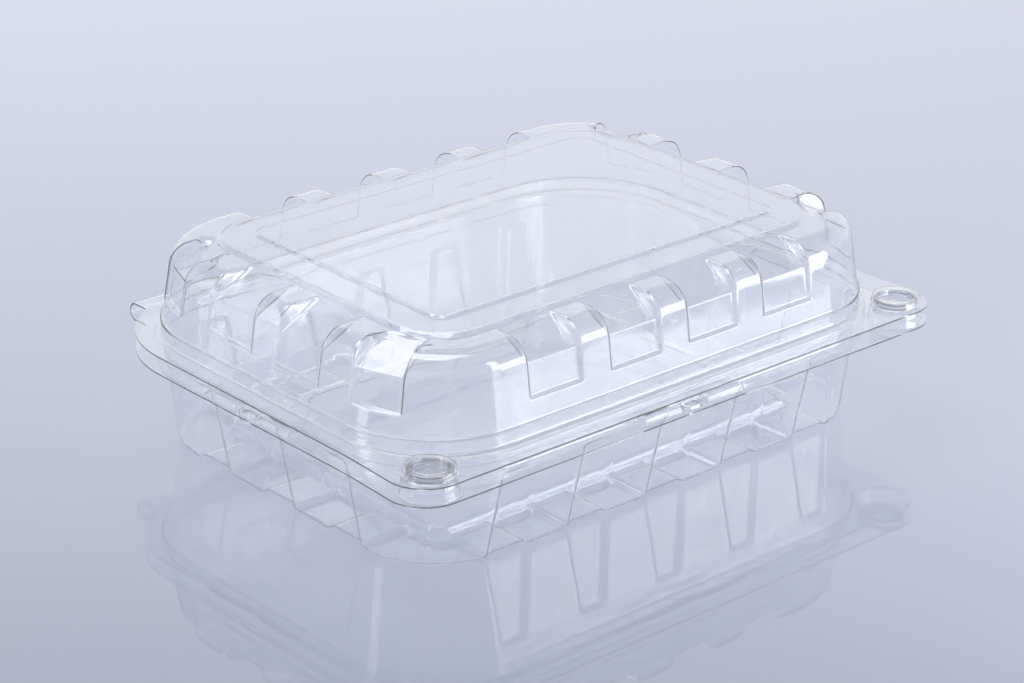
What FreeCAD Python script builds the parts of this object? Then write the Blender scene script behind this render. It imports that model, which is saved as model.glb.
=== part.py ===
"""Hinged clear plastic clamshell pack, closed: a fluted tray and a domed lid, in millimetres."""
import FreeCAD
import Part
import math
import os
from FreeCAD import Vector

# Sheet and clearances
sheet = 0.4                    # wall of the formed plastic
seat_gap = 0.3                 # lid flange over the tray's bead
hinge_slit = 0.3               # left between the two halves of the hinge bead

# Flanges, one outline for both halves
flange_length = 189.0          # over the plain short sides
flange_width = 146.0
ear_flare = 1.0                # how far the front ears stand out past the short sides
ear_radius = 11.0
ear_run = 18.0                 # from the ear back to the plain side
hinge_corner_radius = 34.0     # corners on the hinge side
flange_gap = 5.0               # from the tray flange to the lid flange
hinge_inset = 16.5             # from the flange's end to the end of the hinge bead

# Lid skirt, set in from the flange's edge
side_margin = 5.6
front_margin = 8.1
skirt_corner = 32.0

# Tray
foot_side_inset = 5.3          # from the lid's skirt in to the tray wall's foot
foot_front_inset = 3.5
foot_corner = 26.0
tray_draft = 6.6               # degrees
tray_flange_top = 28.3
bead_width = 1.8               # bead round the mouth, which holds the lid's flange up
foot_edge_radius = 3.0
foot_bands = 2                 # flat bands that round the foot's edge
floor_side_margin = 17.1       # from the wall's foot to the raised middle of the floor
floor_front_margin = 15.9
floor_corner = 5.0
floor_rise = 3.5
floor_draft = 12.0

# Grooves that flute the tray wall, each with a channel under the foot ring
rib_pitch = 28.0               # pitch of the grooves, and of the lid's pillars above
groove_mouth = 16.0
groove_floor = 12.0
groove_depth = 1.6
groove_taper = 3.3             # each side of a groove comes in by this from bottom to top
groove_top_drop = 3.3          # from the flange down to the groove's top
channel_rise = 1.1

# Lid dome
foot_ledge = 0.5               # from the dome wall out to the skirt
foot_rise = 4.0                # from the lid flange up to the ledge
dome_draft = 9.0
dome_height = 20.8             # from the ledge to the shoulder
shoulder_radius = 6.5
shoulder_bands = 3
step_side_inset = 17.6         # from the dome's foot in to the low step on its top
step_front_inset = 15.6
step_corner = 14.5
step_rise = 1.1
panel_side_margin = 10.2       # from the step in to the raised panel
panel_front_margin = 9.5
panel_corner = 3.8
panel_rise = 0.8
top_draft = 40.0               # slope of the two low steps, from the vertical

# Recesses between the lid's pillars
pillar_width = 9.6
recess_depth = 1.0
recess_lift = 5.4              # from the ledge up to the recess
frame_height = 9.2
front_facet_run = 11.0         # from the frame in to the facet's top edge
side_facet_run = 12.5
corner_recess_turn = 20.0      # the recess in each corner faces this far round from the short side
corner_recess_width = 15.0

# Snap buttons on the front ears
button_from_side = 10.5
button_from_front = 8.6
button_radius = 6.9            # lid button, outside, at the flange
button_rise = 2.2
button_draft = 8.0
dish_radius = 4.6
dish_depth = 1.8
button_clearance = 0.4
boss_radius = 7.8              # wide boss under each stud, up to the lid's flange
boss_gap = 0.3

# Pads and tongue raised in the tray flange, at the middle of three sides
pad_length = 15.0
pad_width = 4.0
pad_rise = 1.0
pad_slope = 0.9
pad_from_edge = 1.6
tongue_width = 7.4
tongue_reach = 4.0
tongue_rise = 0.6


def grow(drop, draft):
    """How far a drafted wall moves sideways over a height."""
    return drop * math.tan(math.radians(draft))


# Sizes that follow from the ones above
half_length = flange_length / 2.0
half_width = flange_width / 2.0
ear_reach = half_length + ear_flare
hinge_length = flange_length - 2.0 * hinge_inset
lid_flange_top = tray_flange_top + flange_gap
foot_top = lid_flange_top + foot_rise
bead_top = lid_flange_top - sheet - seat_gap
shoulder_top = foot_top + dome_height
step_top = shoulder_top + step_rise
panel_top = step_top + panel_rise
hinge_height = (tray_flange_top + lid_flange_top - sheet) / 2.0
hinge_bend = (lid_flange_top - tray_flange_top) / 2.0       # middle of the sheet
hinge_bend_y = half_width - hinge_bend - sheet / 2.0
recess_width = rib_pitch - pillar_width
recess_bottom = foot_top + recess_lift
frame_top = recess_bottom + frame_height
groove_top = tray_flange_top - groove_top_drop
skirt_x = half_length - side_margin
skirt_y = half_width - front_margin
foot_x = skirt_x - foot_side_inset
foot_y = skirt_y - foot_front_inset
dome_x = skirt_x - foot_ledge
dome_y = skirt_y - foot_ledge
dome_corner = skirt_corner - foot_ledge
floor_x = foot_x - floor_side_margin
floor_y = foot_y - floor_front_margin
step_x = dome_x - step_side_inset
step_y = dome_y - step_front_inset
panel_x = step_x - panel_side_margin
panel_y = step_y - panel_front_margin
button_x = ear_reach - button_from_side
button_y = half_width - button_from_front


def plan(half_x, half_y, corner, height, back_corner=None):
    """Rounded rectangle in a level plane; the two +Y corners may differ."""
    back = corner if back_corner is None else back_corner
    corners = [(half_x, -half_y, corner, -90), (half_x, half_y, back, 0),
               (-half_x, half_y, back, 90), (-half_x, -half_y, corner, 180)]
    edges = []
    ends = []
    for x, y, radius, start in corners:
        centre = Vector(x - math.copysign(radius, x), y - math.copysign(radius, y), height)
        points = []
        for turn in (0, 45, 90):
            angle = math.radians(start + turn)
            points.append(centre + Vector(math.cos(angle), math.sin(angle), 0) * radius)
        ends.append((points[0], points[2]))
        edges.append(Part.Arc(*points).toShape())
    for index in range(4):
        edges.append(Part.makeLine(ends[index][1], ends[(index + 1) % 4][0]))
    return Part.Wire(Part.__sortEdges__(edges))


def block(half_x, half_y, corner, bottom, top, flare=0.0, back_corner=None):
    """Solid rounded block whose walls move out by flare (in, if negative) over its height."""
    lower = plan(half_x, half_y, corner, bottom, back_corner)
    if flare == 0.0:
        return Part.Face(lower).extrude(Vector(0, 0, top - bottom))
    upper = plan(half_x + flare, half_y + flare, corner + flare, top, back_corner)
    return Part.makeLoft([lower, upper], True, True)


def polygon(points):
    """Face inside a closed outline of straight edges."""
    return Part.Face(Part.makePolygon(list(points) + [points[0]]))


def between(lower, upper):
    """Solid between two outlines with the same number of corners, flat on every side."""
    faces = [polygon(lower), polygon(upper)]
    for index in range(len(lower)):
        after = (index + 1) % len(lower)
        faces.append(polygon([lower[index], lower[after], upper[after], upper[index]]))
    return Part.makeSolid(Part.makeShell(faces))


def on_side(shape, side):
    """Copy of a shape made for the front (-Y) side, turned to side 0, 1, 2 or 3."""
    turned = shape.copy()
    turned.rotate(Vector(0, 0, 0), Vector(0, 0, 1), 90 * side)
    return turned


def ranks(straight, extra):
    """Centres of as many pitches as fit a straight length, plus extra, about the middle of a side."""
    count = int(straight / rib_pitch) + extra
    return [(index - (count - 1) / 2.0) * rib_pitch for index in range(count)]


def rounding(radius, draft, bands):
    """Points down a rounded top edge, as (outset from the wall's sharp corner, drop from the top)."""
    centre = -radius * (math.cos(math.radians(draft)) + (math.sin(math.radians(draft)) - 1.0)
                        * math.tan(math.radians(draft)))
    points = []
    for index in range(bands + 1):
        angle = math.radians(draft + (90.0 - draft) * (1.0 - index / bands))
        points.append((centre + radius * math.cos(angle), radius - radius * math.sin(angle)))
    return points


# Tray


def tray_plan(height, outset):
    """Outline of the tray wall at a height, moved out by outset."""
    out = outset + grow(height, tray_draft)
    return plan(foot_x + out, foot_y + out, foot_corner + out, height)


def tray_groove(reach, inset):
    """Cutter for one groove of the front wall, which stands reach from the centre at the floor."""
    past = 1.0
    out = 2.0
    slope = (groove_mouth - groove_floor) / 2.0 / groove_depth
    sections = []
    for height in (-past, groove_top + inset):
        wall = -reach - grow(height, tray_draft)
        floor = groove_floor / 2.0 - groove_taper * height / groove_top + inset
        mouth = floor + slope * (groove_depth + out)
        sections.append([Vector(-mouth, wall - out, height), Vector(mouth, wall - out, height),
                         Vector(floor, wall + groove_depth, height),
                         Vector(-floor, wall + groove_depth, height)])
    return between(*sections)


def tray_channel(reach, floor_reach, inset):
    """Cutter for the channel that carries a groove in under the foot ring."""
    half = groove_floor / 2.0 + inset
    slope = (groove_mouth - groove_floor) / 2.0
    top = channel_rise + inset
    past = 1.0
    start = -reach - past
    profile = [Vector(-half - slope, start, -past), Vector(half + slope, start, -past),
               Vector(half + slope, start, 0.0), Vector(half, start, top),
               Vector(-half, start, top), Vector(-half - slope, start, 0.0)]
    return polygon(profile).extrude(Vector(0, reach - floor_reach + 2.0 * past, 0))


def tray_form(inset):
    """The space that the tray wall encloses: outer face at inset 0, inner face at the sheet's thickness."""
    rings = [tray_plan(inset + drop, out - inset)
             for out, drop in rounding(foot_edge_radius - inset, 0.0, foot_bands)]
    rings.append(tray_plan(bead_top + inset, -inset))
    form = Part.makeLoft(rings, True, True)
    cutters = []
    for side in range(4):
        long_side = side % 2 == 0
        reach = (foot_y if long_side else foot_x) - inset
        floor_reach = floor_y if long_side else floor_x
        straight = 2.0 * ((foot_x if long_side else foot_y) - foot_corner)
        groove = tray_groove(reach, inset)
        channel = tray_channel(reach, floor_reach, inset)
        for centre in ranks(straight, 1):
            for cutter in (groove, channel):
                moved = cutter.copy()
                moved.translate(Vector(centre, 0, 0))
                cutters.append(on_side(moved, side))
    rise = floor_rise + inset
    under = 1.0
    cutters.append(block(floor_x + inset, floor_y + inset, floor_corner + inset,
                         -under, rise, -grow(rise + under, floor_draft)))
    return form.cut(cutters)


def flange(top):
    """Flat flange sheet with its front ears, reaching to where the hinge bead starts to bend."""
    plate = block(half_length, (half_width + hinge_bend_y) / 2.0, ear_radius, top - sheet, top,
                  back_corner=hinge_corner_radius)
    plate.translate(Vector(0, (hinge_bend_y - half_width) / 2.0, 0))
    strip_from = hinge_bend_y - hinge_corner_radius / 2.0
    parts = [Part.makeBox(hinge_length, hinge_bend_y - strip_from, sheet,
                          Vector(-hinge_length / 2.0, strip_from, top - sheet))]
    up = Vector(0, 0, sheet)
    for sign in (-1, 1):
        centre = Vector(sign * (ear_reach - ear_radius), -half_width + ear_radius, top - sheet)
        parts.append(Part.makeCylinder(ear_radius, sheet, centre))
        back = centre.y + ear_run
        parts.append(polygon([centre, Vector(sign * ear_reach, centre.y, centre.z),
                              Vector(sign * half_length, back, centre.z),
                              Vector(centre.x, back, centre.z)]).extrude(up))
    return plate.fuse(parts)


def hinge_bead(upper):
    """Quarter of the hinge's bend: the tray's below the hinge line, the lid's above."""
    centre = Vector(-hinge_length / 2.0, hinge_bend_y, hinge_height)
    along = Vector(1, 0, 0)
    pipe = Part.makeCylinder(hinge_bend + sheet / 2.0, hinge_length, centre, along)
    pipe = pipe.cut(Part.makeCylinder(hinge_bend - sheet / 2.0, hinge_length, centre, along))
    size = 2.0 * hinge_bend
    low = hinge_height + hinge_slit / 2.0 if upper else hinge_height - hinge_slit / 2.0 - size
    return pipe.common(Part.makeBox(hinge_length, size, size, Vector(-hinge_length / 2.0, hinge_bend_y, low)))


def button(radius, base, top, dish, dish_floor):
    """Round button with a dished top, as a solid."""
    shape = Part.makeCone(radius, radius - grow(top - base, button_draft), top - base, Vector(0, 0, base))
    bowl = Part.makeCone(dish - grow(top - dish_floor, button_draft), dish, top - dish_floor,
                         Vector(0, 0, dish_floor))
    return shape.cut(bowl)


def at_buttons(shape):
    """The shape at both front ears."""
    copies = []
    for sign in (-1, 1):
        moved = shape.copy()
        moved.translate(Vector(sign * button_x, -button_y, 0))
        copies.append(moved)
    return copies


def flange_pads(inset):
    """Pads and tongue of three sides: inset 0 above the sheet, else the hollow under them."""
    base = tray_flange_top - sheet
    front = -half_width + pad_from_edge
    shapes = []
    for side in (0, 1, 3):
        shift = 0.0 if side == 0 else half_length - half_width
        pieces = []
        for sign in (-1, 1):
            low = []
            high = []
            near = sign * (tongue_width / 2.0 + inset)
            far = sign * (tongue_width / 2.0 + pad_length - inset)
            slope = pad_slope * sign
            for x, y, dx, dy in ((near, front + inset, slope, pad_slope),
                                 (far, front + inset, -slope, pad_slope),
                                 (far - sign * pad_width, front + pad_width - inset, -slope, -pad_slope),
                                 (near, front + pad_width - inset, slope, -pad_slope)):
                low.append(Vector(x, y, base))
                high.append(Vector(x + dx, y + dy, tray_flange_top + pad_rise - inset))
            pieces.append(Part.makeLoft([Part.makePolygon(low + [low[0]]),
                                         Part.makePolygon(high + [high[0]])], True, True))
        width = tongue_width / 2.0 - 2.0 * inset
        at = Vector(0, front + tongue_width / 2.0, base)
        tall = sheet + tongue_rise - inset
        pieces.append(Part.makeCylinder(width, tall, at))
        pieces.append(Part.makeBox(2.0 * width, tongue_reach - tongue_width / 2.0, tall,
                                   at - Vector(width, 0, 0)))
        for piece in pieces:
            piece.translate(Vector(0, -shift, 0))
            shapes.append(on_side(piece, side))
    return shapes


def make_tray():
    """Fluted tray with the bead round its mouth, flange, button studs, pads and the hinge's lower half."""
    low = tray_flange_top - sheet
    out = grow(bead_top, tray_draft) + bead_width
    bead = block(foot_x + out, foot_y + out, foot_corner + out, low, bead_top)
    out = out - sheet
    under = block(foot_x + out, foot_y + out, foot_corner + out, low - sheet, bead_top - sheet)
    stud_radius = button_radius - sheet - button_clearance + grow(flange_gap, button_draft)
    stud_top = lid_flange_top + button_rise - sheet - button_clearance
    stud_dish = dish_radius + sheet + button_clearance
    stud_dish_floor = stud_top - dish_depth
    stud = button(stud_radius, low, stud_top, stud_dish, stud_dish_floor)
    stud_hollow = button(stud_radius - sheet, low, stud_top - sheet, stud_dish + sheet,
                         stud_dish_floor - sheet)
    boss_top = lid_flange_top - sheet - boss_gap
    boss = Part.makeCone(boss_radius, boss_radius - grow(boss_top - low, button_draft), boss_top - low,
                         Vector(0, 0, low))
    boss_inner = boss_radius - sheet
    boss_hollow = Part.makeCone(boss_inner, boss_inner - grow(boss_top - sheet - low, button_draft),
                                boss_top - sheet - low, Vector(0, 0, low))
    body = flange(tray_flange_top).fuse([bead] + at_buttons(stud) + at_buttons(boss) + flange_pads(0.0))
    body = body.cut([under] + at_buttons(stud_hollow) + at_buttons(boss_hollow) + flange_pads(sheet))
    body = body.fuse([tray_form(0.0), hinge_bead(False)])
    return body.cut(tray_form(sheet)).removeSplitter()


# Lid


def lid_recess(reach, width, depth, run, inset):
    """Cutter for one recess of the front wall, which stands reach from the centre at the dome's foot."""
    lean = math.tan(math.radians(dome_draft))
    out = reach + skirt_corner
    low = recess_bottom - inset
    above = 3.0
    frame = -(reach - lean * (frame_top - foot_top) - depth)
    slope = (shoulder_top - frame_top) / run
    length = math.hypot(run, shoulder_top - frame_top)
    # The facet and the frame wall both move in by the sheet's thickness
    facet_at = Vector(0, frame, frame_top) + Vector(0, shoulder_top - frame_top, -run) * (inset / length)
    frame_low = -(reach - lean * (low - foot_top) - depth - inset / math.cos(math.radians(dome_draft)))
    meet = (facet_at.z - low - slope * (facet_at.y - frame_low)) / (1.0 - slope * lean)
    corner = Vector(0, frame_low + lean * meet, low + meet)
    end = Vector(0, facet_at.y + (shoulder_top + above - facet_at.z) / slope, shoulder_top + above)
    face = polygon([Vector(0, -out, low), Vector(0, frame_low, low), corner, end,
                    Vector(0, -out, shoulder_top + above)])
    face.translate(Vector(-width / 2.0 - inset, 0, 0))
    return face.extrude(Vector(width + 2.0 * inset, 0, 0))


def lid_recesses(inset):
    """Cutters for every recess: two rows on the long sides, two on the short sides, and the corners."""
    cutters = []
    for side in range(4):
        long_side = side % 2 == 0
        reach = dome_y if long_side else dome_x
        run = front_facet_run if long_side else side_facet_run
        straight = 2.0 * ((dome_x if long_side else dome_y) - dome_corner)
        cutter = lid_recess(reach, recess_width, recess_depth, run, inset)
        for centre in ranks(straight, 0):
            moved = cutter.copy()
            moved.translate(Vector(centre, 0, 0))
            cutters.append(on_side(moved, side))
    sag = dome_corner - math.sqrt(dome_corner ** 2 - (corner_recess_width / 2.0) ** 2)
    corner_cutter = lid_recess(dome_corner, corner_recess_width, recess_depth + sag, side_facet_run, inset)
    for side_x in (-1, 1):
        for side_y in (-1, 1):
            moved = corner_cutter.copy()
            facing = 90.0 if side_x > 0 else -90.0
            turn = corner_recess_turn if side_x * side_y > 0 else -corner_recess_turn
            moved.rotate(Vector(0, 0, 0), Vector(0, 0, 1), facing + turn)
            moved.translate(Vector(side_x * (dome_x - dome_corner), side_y * (dome_y - dome_corner), 0))
            cutters.append(moved)
    return cutters


def dome_form(inset):
    """The space that the lid dome encloses: outer face at inset 0, inner face at the sheet's thickness."""
    bottom = foot_top - (2.0 * sheet if inset else sheet)
    top = shoulder_top - inset
    side = inset / math.cos(math.radians(dome_draft))

    def ring(height, extra):
        out = extra - side - grow(height - foot_top, dome_draft)
        return plan(dome_x + out, dome_y + out, dome_corner + out, height)

    rings = [ring(bottom, 0.0)]
    for out, drop in reversed(rounding(shoulder_radius - inset, dome_draft, shoulder_bands)):
        rings.append(ring(top - drop, out - grow(drop, dome_draft)))
    form = Part.makeLoft(rings, True, True).cut(lid_recesses(inset))
    steps = []
    for half_x, half_y, corner, low, high in (
            (step_x, step_y, step_corner, shoulder_top, step_top),
            (panel_x, panel_y, panel_corner, step_top, panel_top)):
        run = grow(high - low, top_draft)
        steps.append(block(half_x + run - inset, half_y + run - inset, corner + run - inset,
                           low - inset, high - inset, -run))
    return form.fuse(steps)


def make_lid():
    """Domed lid with its skirt, flange, two buttons and the upper half of the hinge."""
    low = lid_flange_top - sheet
    skirt = block(skirt_x, skirt_y, skirt_corner, low, foot_top)
    skirt_hollow = block(skirt_x - sheet, skirt_y - sheet, skirt_corner - sheet, low - sheet,
                         foot_top - sheet)
    top = lid_flange_top + button_rise
    cap = button(button_radius, low, top, dish_radius, top - dish_depth)
    cap_hollow = button(button_radius - sheet, low, top - sheet, dish_radius + sheet,
                        top - dish_depth - sheet)
    body = flange(lid_flange_top).fuse([skirt, dome_form(0.0), hinge_bead(True)] + at_buttons(cap))
    return body.cut([skirt_hollow, dome_form(sheet)] + at_buttons(cap_hollow)).removeSplitter()


def main():
    """Write one STEP file for the tray and one for the lid."""
    os.makedirs("parts", exist_ok=True)
    for name, shape in (("tray", make_tray()), ("lid", make_lid())):
        box = shape.BoundBox
        print(name, "solids", len(shape.Solids), "valid", shape.isValid(), "volume", round(shape.Volume, 1),
              "box", [round(v, 2) for v in (box.XMin, box.XMax, box.YMin, box.YMax, box.ZMin, box.ZMax)])
        shape.exportStep("parts/" + name + ".step")


main()
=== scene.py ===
"""Clear plastic clamshell pack, closed: a fluted tray and a domed lid, each one thin formed sheet.

Shapes are worked out in millimetres and every finished piece is in metres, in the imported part's axes.
"""
import logging
import math
from dataclasses import dataclass
from enum import Enum
from functools import partial

import bmesh
import bpy
import numpy as np
from bmesh.types import BMEdge, BMesh, BMVert
from bpy.types import Material, Node, NodeSocket as Socket, Object
from mathutils import Matrix, Vector


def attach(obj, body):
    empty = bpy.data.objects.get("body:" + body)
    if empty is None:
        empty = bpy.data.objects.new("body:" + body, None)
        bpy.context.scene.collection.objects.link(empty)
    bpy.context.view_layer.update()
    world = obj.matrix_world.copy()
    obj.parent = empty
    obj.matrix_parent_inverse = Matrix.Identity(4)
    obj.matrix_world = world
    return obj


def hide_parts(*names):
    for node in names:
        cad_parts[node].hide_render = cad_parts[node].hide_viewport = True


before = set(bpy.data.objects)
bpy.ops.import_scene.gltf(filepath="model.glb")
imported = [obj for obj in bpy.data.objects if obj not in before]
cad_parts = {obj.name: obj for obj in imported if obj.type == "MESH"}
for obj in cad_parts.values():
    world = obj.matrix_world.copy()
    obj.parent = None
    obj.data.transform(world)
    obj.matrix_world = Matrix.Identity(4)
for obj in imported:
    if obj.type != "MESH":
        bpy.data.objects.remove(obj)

MM = 0.001
SHEET = 0.4
# Tolerances, the most that a fold deepens the sheet, and the angle of a sharp edge in degrees
TOUCH = 1e-4
JOIN = 1e-3
DEEPEST = 1.35
SHARP = 50.0
Pair = tuple[float, float]
Triple = tuple[float, float, float]
Edges = list[BMEdge]
LOG = logging.getLogger("clamshell")
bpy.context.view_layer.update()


class Facing(Enum):
    """Which way the outer face of a sheet's drawn skin looks on its flange."""

    UP = 1
    DOWN = -1


def add_object(name: str, data: bpy.types.ID) -> Object:
    """Adds an object to the scene.

    Args:
        name: Name of the object.
        data: Its mesh, lamp or camera.

    Returns:
        The object.
    """
    made = bpy.data.objects.new(name, data)
    bpy.context.scene.collection.objects.link(made)
    return made


# Outlines and ring grids


@dataclass(frozen=True)
class Ring:
    """One level outline of a skin: half sizes, corner radius and height, with the flutes' share of press."""

    half_x: float
    half_y: float
    corner: float
    height: float
    press: float = 1.0


def profile(base: Triple, steps: list[Pair], press: float = 1.0) -> list[Ring]:
    """Rings of an outline moved out, from pairs of distance and height."""
    return [Ring(*(size + out for size in base), height, press) for out, height in steps]


def blend(start: Triple, end: Triple, share: float, height: float, press: float = 1.0) -> Ring:
    """Ring part of the way between two outlines."""
    return Ring(*(low + (high - low) * share for low, high in zip(start, end)), height, press)


def middle_rings(base: Triple, height: float, press: float = 1.0) -> list[Ring]:
    """Rings that fill the flat middle inside an outline."""
    return [blend((0.0, 0.0, 0.0), base, share, height, press) for share in (0.25, 0.6, 0.9)]


@dataclass(frozen=True)
class Columns:
    """Where the columns of a skin stand round a quarter of its outline, dense where a recess has an edge."""

    front: tuple[float, ...]
    side: tuple[float, ...]
    corner: tuple[float, ...]
    front_turn: float = 0.0
    side_turn: float = 0.0
    corner_facing: float = 0.0
    corner_half: float = 0.0
    corner_radius: float = 30.0
    least_radius: float = 20.0
    taper: float = 0.0
    taper_height: float = 1.0
    pitch: float = 28.0
    front_rows: tuple[float, ...] = ()
    side_rows: tuple[float, ...] = ()

    def warp(self, places: np.ndarray, rows: tuple[float, ...], height: float) -> np.ndarray:
        """Moves columns with the sloping edges of the flutes.

        Args:
            places: Positions along the side, from its middle.
            rows: Middles of the flutes.
            height: Height of the ring.

        Returns:
            The moved positions.
        """
        shift = self.taper * min(max(height / self.taper_height, 0.0), 1.0)
        if shift == 0.0:
            return places
        nearest = np.array(rows)[np.abs(places[:, None] - np.array(rows)[None, :]).argmin(1)]
        local = places - nearest
        half = self.pitch / 2.0
        moved = np.interp(np.abs(local), (0.0, 5.0, 9.0, half), (0.0, 5.0 - shift, 9.0 - shift, half))
        return nearest + np.sign(local) * moved

    def along(self, listed: tuple[float, ...], rows: tuple[float, ...], ring: Ring, centre: float,
              turn: float) -> np.ndarray:
        """Positions along one side of a ring, from its middle to where the corner takes over.

        Args:
            listed: Positions of the columns on a wall.
            rows: Middles of the flutes.
            ring: The outline.
            centre: Where the corner's arc starts.
            turn: How far round the arc the side still reaches, in degrees.

        Returns:
            Positions, the last one at the side's end.
        """
        places = np.array(listed)
        end = centre + ring.corner * math.sin(math.radians(turn))
        limit = end - 0.4
        if turn == 0.0:
            places = places * (end / (places[-1] + 0.4)) if limit < places[-1] else places
        elif limit < places[-1]:
            places = places * (limit / places[-1])
        return np.append(self.warp(places, rows, ring.height), end)

    def quarter(self, ring: Ring) -> np.ndarray:
        """Points of the right front quarter, from the middle of the front to the middle of the side.

        Args:
            ring: The outline.

        Returns:
            Rows of x, y.
        """
        centre_x = ring.half_x - ring.corner
        centre_y = ring.half_y - ring.corner
        xs = self.along(self.front, self.front_rows, ring, centre_x, self.front_turn)
        over = np.clip(xs - centre_x, 0.0, ring.corner)
        front = np.stack([xs, -(centre_y + np.sqrt(ring.corner ** 2 - over ** 2))], 1)
        ys = self.along(self.side, self.side_rows, ring, centre_y, self.side_turn)
        over = np.clip(ys - centre_y, 0.0, ring.corner)
        side = np.stack([centre_x + np.sqrt(ring.corner ** 2 - over ** 2), -ys], 1)
        angles = np.array(self.corner)
        if self.corner_half:
            radius = ring.corner if ring.corner > self.least_radius else self.corner_radius
            listed, real = (math.degrees(math.asin(self.corner_half / size))
                            for size in (self.corner_radius, radius))
            facing = self.corner_facing
            angles = np.interp(angles, (0.0, facing - listed, facing + listed, 90.0),
                               (0.0, facing - real, facing + real, 90.0))
        turns = np.radians(angles)
        corner = np.stack([centre_x + ring.corner * np.sin(turns),
                           -(centre_y + ring.corner * np.cos(turns))], 1)
        return np.concatenate([front, corner, side[::-1]])

    def split(self) -> tuple[int, int]:
        """Numbers of columns on the quarter's front and in its corner."""
        return len(self.front) + 1, len(self.corner)


def edge_columns(edges: tuple[float, ...], end: float, soft: float, step: float) -> tuple[float, ...]:
    """Columns along a side, close together across each edge of a recess.

    Args:
        edges: Positions of the edges.
        end: Where the list stops.
        soft: Half width of the close band.
        step: Largest step elsewhere.

    Returns:
        Positions from 0 to end.
    """
    close = [edge + soft * share for edge in edges for share in (-1.0, -0.6, -0.3, 0.0, 0.3, 0.6, 1.0)]
    marks = sorted([0.0, end] + [place for place in close if 0.0 < place < end])
    places = [marks[0]]
    for after in marks[1:]:
        count = max(1, math.ceil((after - places[-1]) / step))
        start = places[-1]
        places += [start + (after - start) * (index + 1) / count for index in range(count)]
    return tuple(places)


def arc(centre: Pair, radius: float, start: float, end: float,
        count: int) -> list[Pair]:
    """Points of an arc in a plane.

    Args:
        centre: Middle of the arc.
        radius: Its radius.
        start: First angle in degrees.
        end: Last angle in degrees.
        count: Number of steps.

    Returns:
        Points, both ends included.
    """
    turns = [math.radians(start + (end - start) * index / count) for index in range(count + 1)]
    return [(centre[0] + radius * math.cos(turn), centre[1] + radius * math.sin(turn)) for turn in turns]


@dataclass
class Skin:
    """A skin made of rings of columns, with what each point needs to know about its recess."""

    columns: Columns
    rings: list[Ring]

    def mirror(self, quarter: np.ndarray) -> np.ndarray:
        """Whole outline from its right front quarter."""
        flip_y, flip_x = np.array([1.0, -1.0]), np.array([-1.0, 1.0])
        return np.concatenate([quarter[:-1], (quarter[::-1] * flip_y)[:-1], (-quarter)[:-1],
                               (quarter[::-1] * flip_x)[:-1]])

    def spread(self, quarter: np.ndarray) -> np.ndarray:
        """Values of a quarter's columns, carried round the whole outline."""
        return np.concatenate([quarter[:-1], quarter[::-1][:-1], quarter[:-1], quarter[::-1][:-1]])

    def mesh(self, name: str, cells: list[dict[str, np.ndarray]]) -> Object:
        """Makes the skin's mesh, closed over its middle.

        Args:
            name: Name of the object.
            cells: For each ring, the attribute values of a quarter's columns.

        Returns:
            The object, in millimetres.
        """
        loops = [self.mirror(self.columns.quarter(ring)) for ring in self.rings]
        count = len(loops[0])
        points = [np.column_stack([loop, np.full(count, ring.height)])
                  for loop, ring in zip(loops, self.rings)]
        points.append(np.array([[0.0, 0.0, self.rings[0].height]]))
        faces = []
        middle = len(self.rings) * count
        for index in range(count):
            after = (index + 1) % count
            faces.append((middle, index, after))
            for row in range(len(self.rings) - 1):
                low, high = row * count, (row + 1) * count
                faces.append((low + index, high + index, high + after, low + after))
        mesh = bpy.data.meshes.new(name)
        mesh.from_pydata(np.concatenate(points).tolist(), [], faces)
        for key in cells[0]:
            if key == "out":
                values = np.concatenate([self.mirror(cell[key]) for cell in cells] + [np.zeros((1, 2))])
                values = np.column_stack([values, np.zeros(len(values))])
                kind, part = "FLOAT_VECTOR", "vector"
            else:
                values = np.concatenate([self.spread(cell[key]) for cell in cells] + [np.full(1, -99.0)])
                kind, part = "FLOAT", "value"
            mesh.attributes.new(key, kind, "POINT").data.foreach_set(part, values.astype(np.float32).ravel())
        return add_object(name, mesh)


# Trees of nodes that press the recesses and flutes into a skin


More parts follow.
